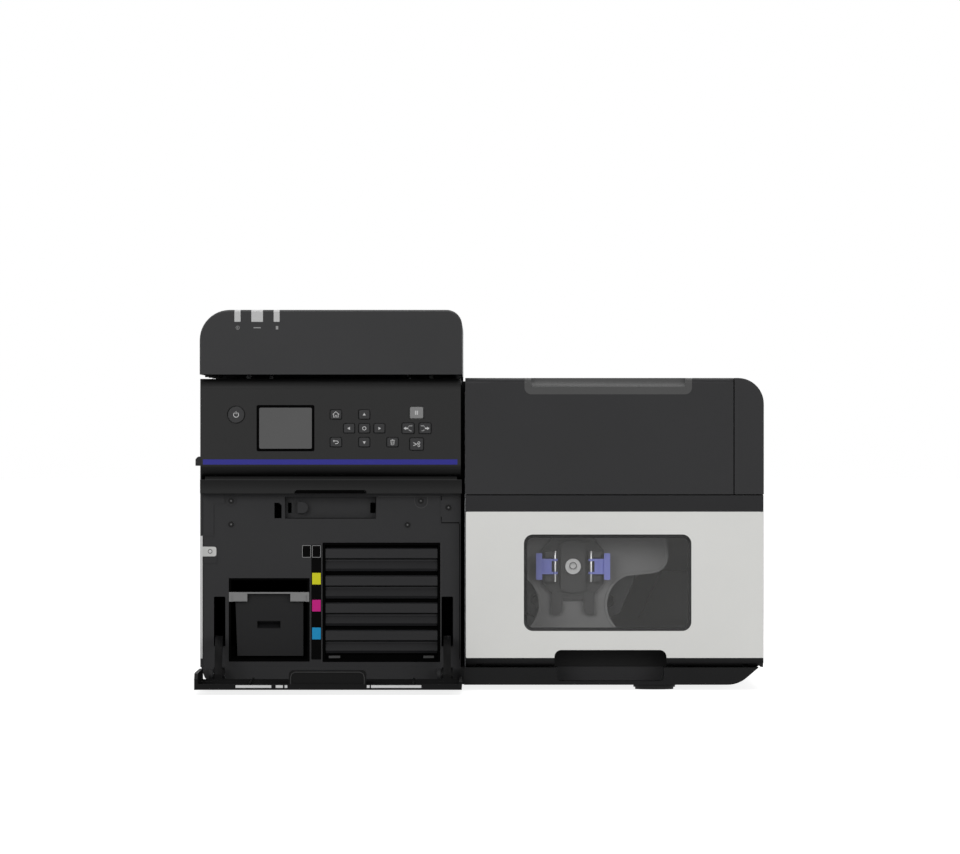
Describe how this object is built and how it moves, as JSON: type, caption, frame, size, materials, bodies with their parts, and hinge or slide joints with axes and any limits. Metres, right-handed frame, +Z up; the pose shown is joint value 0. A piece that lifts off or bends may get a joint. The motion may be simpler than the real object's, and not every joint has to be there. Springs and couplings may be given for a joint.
{
  "type": "inkjet label printer",
  "caption": "Desktop inkjet label printer with a print tower, control panel, roll bay with smoked window and a folded-down ink cover.",
  "frame": {"origin": "middle of the footprint with the ink cover folded down, at the height of the table", "axes": "+X to the right seen from the front, +Y to the rear, +Z up"},
  "size_m": [0.662, 0.94, 0.441],
  "materials": {
    "shell": "fine satin moulding",
    "panel": "satin",
    "inner": "matt",
    "light_grey": "satin",
    "grip_grey": "satin",
    "smoked": "polished smoked plastic",
    "display": "matt display",
    "lens": "frosted",
    "blue": "gloss",
    "lever": "satin",
    "steel": "brushed",
    "sheet": "zinc plated",
    "carrier": "satin",
    "dark_steel": "blackened",
    "rubber": "matt",
    "board": "solder mask",
    "black_case": "matt",
    "button": "satin",
    "pause": "satin"
  },
  "bodies": {
    "chassis": {"base_tray": "shell", "cartridge_bay": "inner", "control_panel": "panel", "cutter_rail": "steel", "display_glass": "display", "feed_motor": "sheet", "hinge_pins": "steel", "housing_screws": "dark_steel", "hub_plate": "black_case", "ink_bay_front": "inner", "left_side_panel": "shell", "light_strip": "blue", "main_circuit_board": "board", "maintenance_bay": "inner", "mid_wall": "sheet", "paper_exit_guide": "shell", "platen": "grip_grey", "power_inlet": "black_case", "power_supply": "sheet", "print_frame": "sheet", "print_head": "black_case", "rear_panel": "shell", "right_side_panel": "shell", "roll_bay_liner": "grip_grey", "rubber_feet": "rubber", "spindle_support": "carrier"},
    "printer_cover": {"printer_cover": "shell", "status_lights": "lens"},
    "roll_top_cover": {"roll_top_cover": "shell", "top_cover_grip": "grip_grey"},
    "roll_front_cover": {"roll_front_cover": "shell", "front_face_plate": "light_grey", "viewing_window": "smoked"},
    "ink_cover": {"ink_cover": "inner"},
    "spindle": {"spindle": "lens"},
    "roll_flange": {"roll_flange": "black_case"},
    "left_lock_lever": {"left_lock_lever": "lever"},
    "right_lock_lever": {"right_lock_lever": "lever"},
    "feed_roller": {"feed_roller": "rubber"},
    "pinch_roller": {"pinch_roller": "steel"},
    "cutter_blade": {"cutter_blade": "steel"},
    "dancer_arm": {"dancer_arm": "black_case"},
    "maintenance_box": {"maintenance_box": "inner"},
    "cartridge_black": {"cartridge_black": "black_case"},
    "cartridge_yellow": {"cartridge_yellow": "black_case"},
    "cartridge_magenta": {"cartridge_magenta": "black_case"},
    "cartridge_cyan": {"cartridge_cyan": "black_case"},
    "button_power": {"button_power": "button"},
    "button_home": {"button_home": "button"},
    "button_up": {"button_up": "button"},
    "button_left": {"button_left": "button"},
    "button_ok": {"button_ok": "button"},
    "button_right": {"button_right": "button"},
    "button_back": {"button_back": "button"},
    "button_down": {"button_down": "button"},
    "button_cancel": {"button_cancel": "button"},
    "button_pause": {"button_pause": "pause"},
    "button_feed_back": {"button_feed_back": "button"},
    "button_feed_forward": {"button_feed_forward": "button"},
    "button_cut": {"button_cut": "button"}
  },
  "joints": [
    {"name": "printer_cover_hinge", "type": "hinge", "parent": "chassis", "child": "printer_cover", "pos_m": [-0.1735, 0.4188, 0.431], "axis": [-1, 0, 0], "range_deg": [0, 70]},
    {"name": "roll_top_cover_hinge", "type": "hinge", "parent": "chassis", "child": "roll_top_cover", "pos_m": [0.134, 0.4188, 0.352], "axis": [-1, 0, 0], "range_deg": [0, 75]},
    {"name": "roll_front_cover_hinge", "type": "hinge", "parent": "chassis", "child": "roll_front_cover", "pos_m": [0.154, -0.263, 0.0362], "axis": [1, 0, 0], "range_deg": [0, 90]},
    {"name": "ink_cover_hinge", "type": "hinge", "parent": "chassis", "child": "ink_cover", "pos_m": [-0.1735, -0.261, 0.017], "axis": [1, 0, 0], "range_deg": [-90, 0]},
    {"name": "cartridge_black_slide", "type": "slide", "parent": "chassis", "child": "cartridge_black", "axis": [0, -1, 0], "range_m": [0, 0.19]},
    {"name": "cartridge_yellow_slide", "type": "slide", "parent": "chassis", "child": "cartridge_yellow", "axis": [0, -1, 0], "range_m": [0, 0.19]},
    {"name": "cartridge_magenta_slide", "type": "slide", "parent": "chassis", "child": "cartridge_magenta", "axis": [0, -1, 0], "range_m": [0, 0.19]},
    {"name": "cartridge_cyan_slide", "type": "slide", "parent": "chassis", "child": "cartridge_cyan", "axis": [0, -1, 0], "range_m": [0, 0.19]},
    {"name": "maintenance_box_slide", "type": "slide", "parent": "chassis", "child": "maintenance_box", "axis": [0, -1, 0], "range_m": [0, 0.15]},
    {"name": "spindle_turn", "type": "hinge", "parent": "chassis", "child": "spindle", "pos_m": [0.11031, -0.122, 0.1424], "axis": [0, 1, 0], "continuous": true},
    {"name": "roll_flange_slide", "type": "slide", "parent": "spindle", "child": "roll_flange", "axis": [0, 1, 0], "range_m": [0, 0.2]},
    {"name": "left_lock_lever_hinge", "type": "hinge", "parent": "chassis", "child": "left_lock_lever", "pos_m": [0.08931, -0.216, 0.1424], "axis": [0, 0, 1], "range_deg": [0, 85]},
    {"name": "right_lock_lever_hinge", "type": "hinge", "parent": "chassis", "child": "right_lock_lever", "pos_m": [0.13131, -0.216, 0.1424], "axis": [0, 0, -1], "range_deg": [0, 85]},
    {"name": "feed_roller_turn", "type": "hinge", "parent": "chassis", "child": "feed_roller", "pos_m": [-0.07, -0.072, 0.26125], "axis": [0, 1, 0], "continuous": true},
    {"name": "pinch_roller_turn", "type": "hinge", "parent": "chassis", "child": "pinch_roller", "pos_m": [-0.07, -0.072, 0.28325], "axis": [0, 1, 0], "continuous": true},
    {"name": "cutter_blade_slide", "type": "slide", "parent": "chassis", "child": "cutter_blade", "axis": [0, 0, -1], "range_m": [0, 0.012]},
    {"name": "dancer_arm_swing", "type": "hinge", "parent": "chassis", "child": "dancer_arm", "pos_m": [0.076, -0.072, 0.33], "axis": [0, 1, 0], "range_deg": [0, 20], "stiffness_Nm_per_rad": 1},
    {"name": "button_power_press", "type": "slide", "parent": "chassis", "child": "button_power", "axis": [0, 1, 0], "range_m": [0, 0.001], "stiffness_N_per_m": 600},
    {"name": "button_home_press", "type": "slide", "parent": "chassis", "child": "button_home", "axis": [0, 1, 0], "range_m": [0, 0.001], "stiffness_N_per_m": 600},
    {"name": "button_up_press", "type": "slide", "parent": "chassis", "child": "button_up", "axis": [0, 1, 0], "range_m": [0, 0.001], "stiffness_N_per_m": 600},
    {"name": "button_left_press", "type": "slide", "parent": "chassis", "child": "button_left", "axis": [0, 1, 0], "range_m": [0, 0.001], "stiffness_N_per_m": 600},
    {"name": "button_ok_press", "type": "slide", "parent": "chassis", "child": "button_ok", "axis": [0, 1, 0], "range_m": [0, 0.001], "stiffness_N_per_m": 600},
    {"name": "button_right_press", "type": "slide", "parent": "chassis", "child": "button_right", "axis": [0, 1, 0], "range_m": [0, 0.001], "stiffness_N_per_m": 600},
    {"name": "button_back_press", "type": "slide", "parent": "chassis", "child": "button_back", "axis": [0, 1, 0], "range_m": [0, 0.001], "stiffness_N_per_m": 600},
    {"name": "button_down_press", "type": "slide", "parent": "chassis", "child": "button_down", "axis": [0, 1, 0], "range_m": [0, 0.001], "stiffness_N_per_m": 600},
    {"name": "button_cancel_press", "type": "slide", "parent": "chassis", "child": "button_cancel", "axis": [0, 1, 0], "range_m": [0, 0.001], "stiffness_N_per_m": 600},
    {"name": "button_pause_press", "type": "slide", "parent": "chassis", "child": "button_pause", "axis": [0, 1, 0], "range_m": [0, 0.001], "stiffness_N_per_m": 600},
    {"name": "button_feed_back_press", "type": "slide", "parent": "chassis", "child": "button_feed_back", "axis": [0, 1, 0], "range_m": [0, 0.001], "stiffness_N_per_m": 600},
    {"name": "button_feed_forward_press", "type": "slide", "parent": "chassis", "child": "button_feed_forward", "axis": [0, 1, 0], "range_m": [0, 0.001], "stiffness_N_per_m": 600},
    {"name": "button_cut_press", "type": "slide", "parent": "chassis", "child": "button_cut", "axis": [0, 1, 0], "range_m": [0, 0.001], "stiffness_N_per_m": 600}
  ],
  "couplings": [
    {"joint": "pinch_roller_turn", "follows": "feed_roller_turn", "ratio": -1}
  ]
}
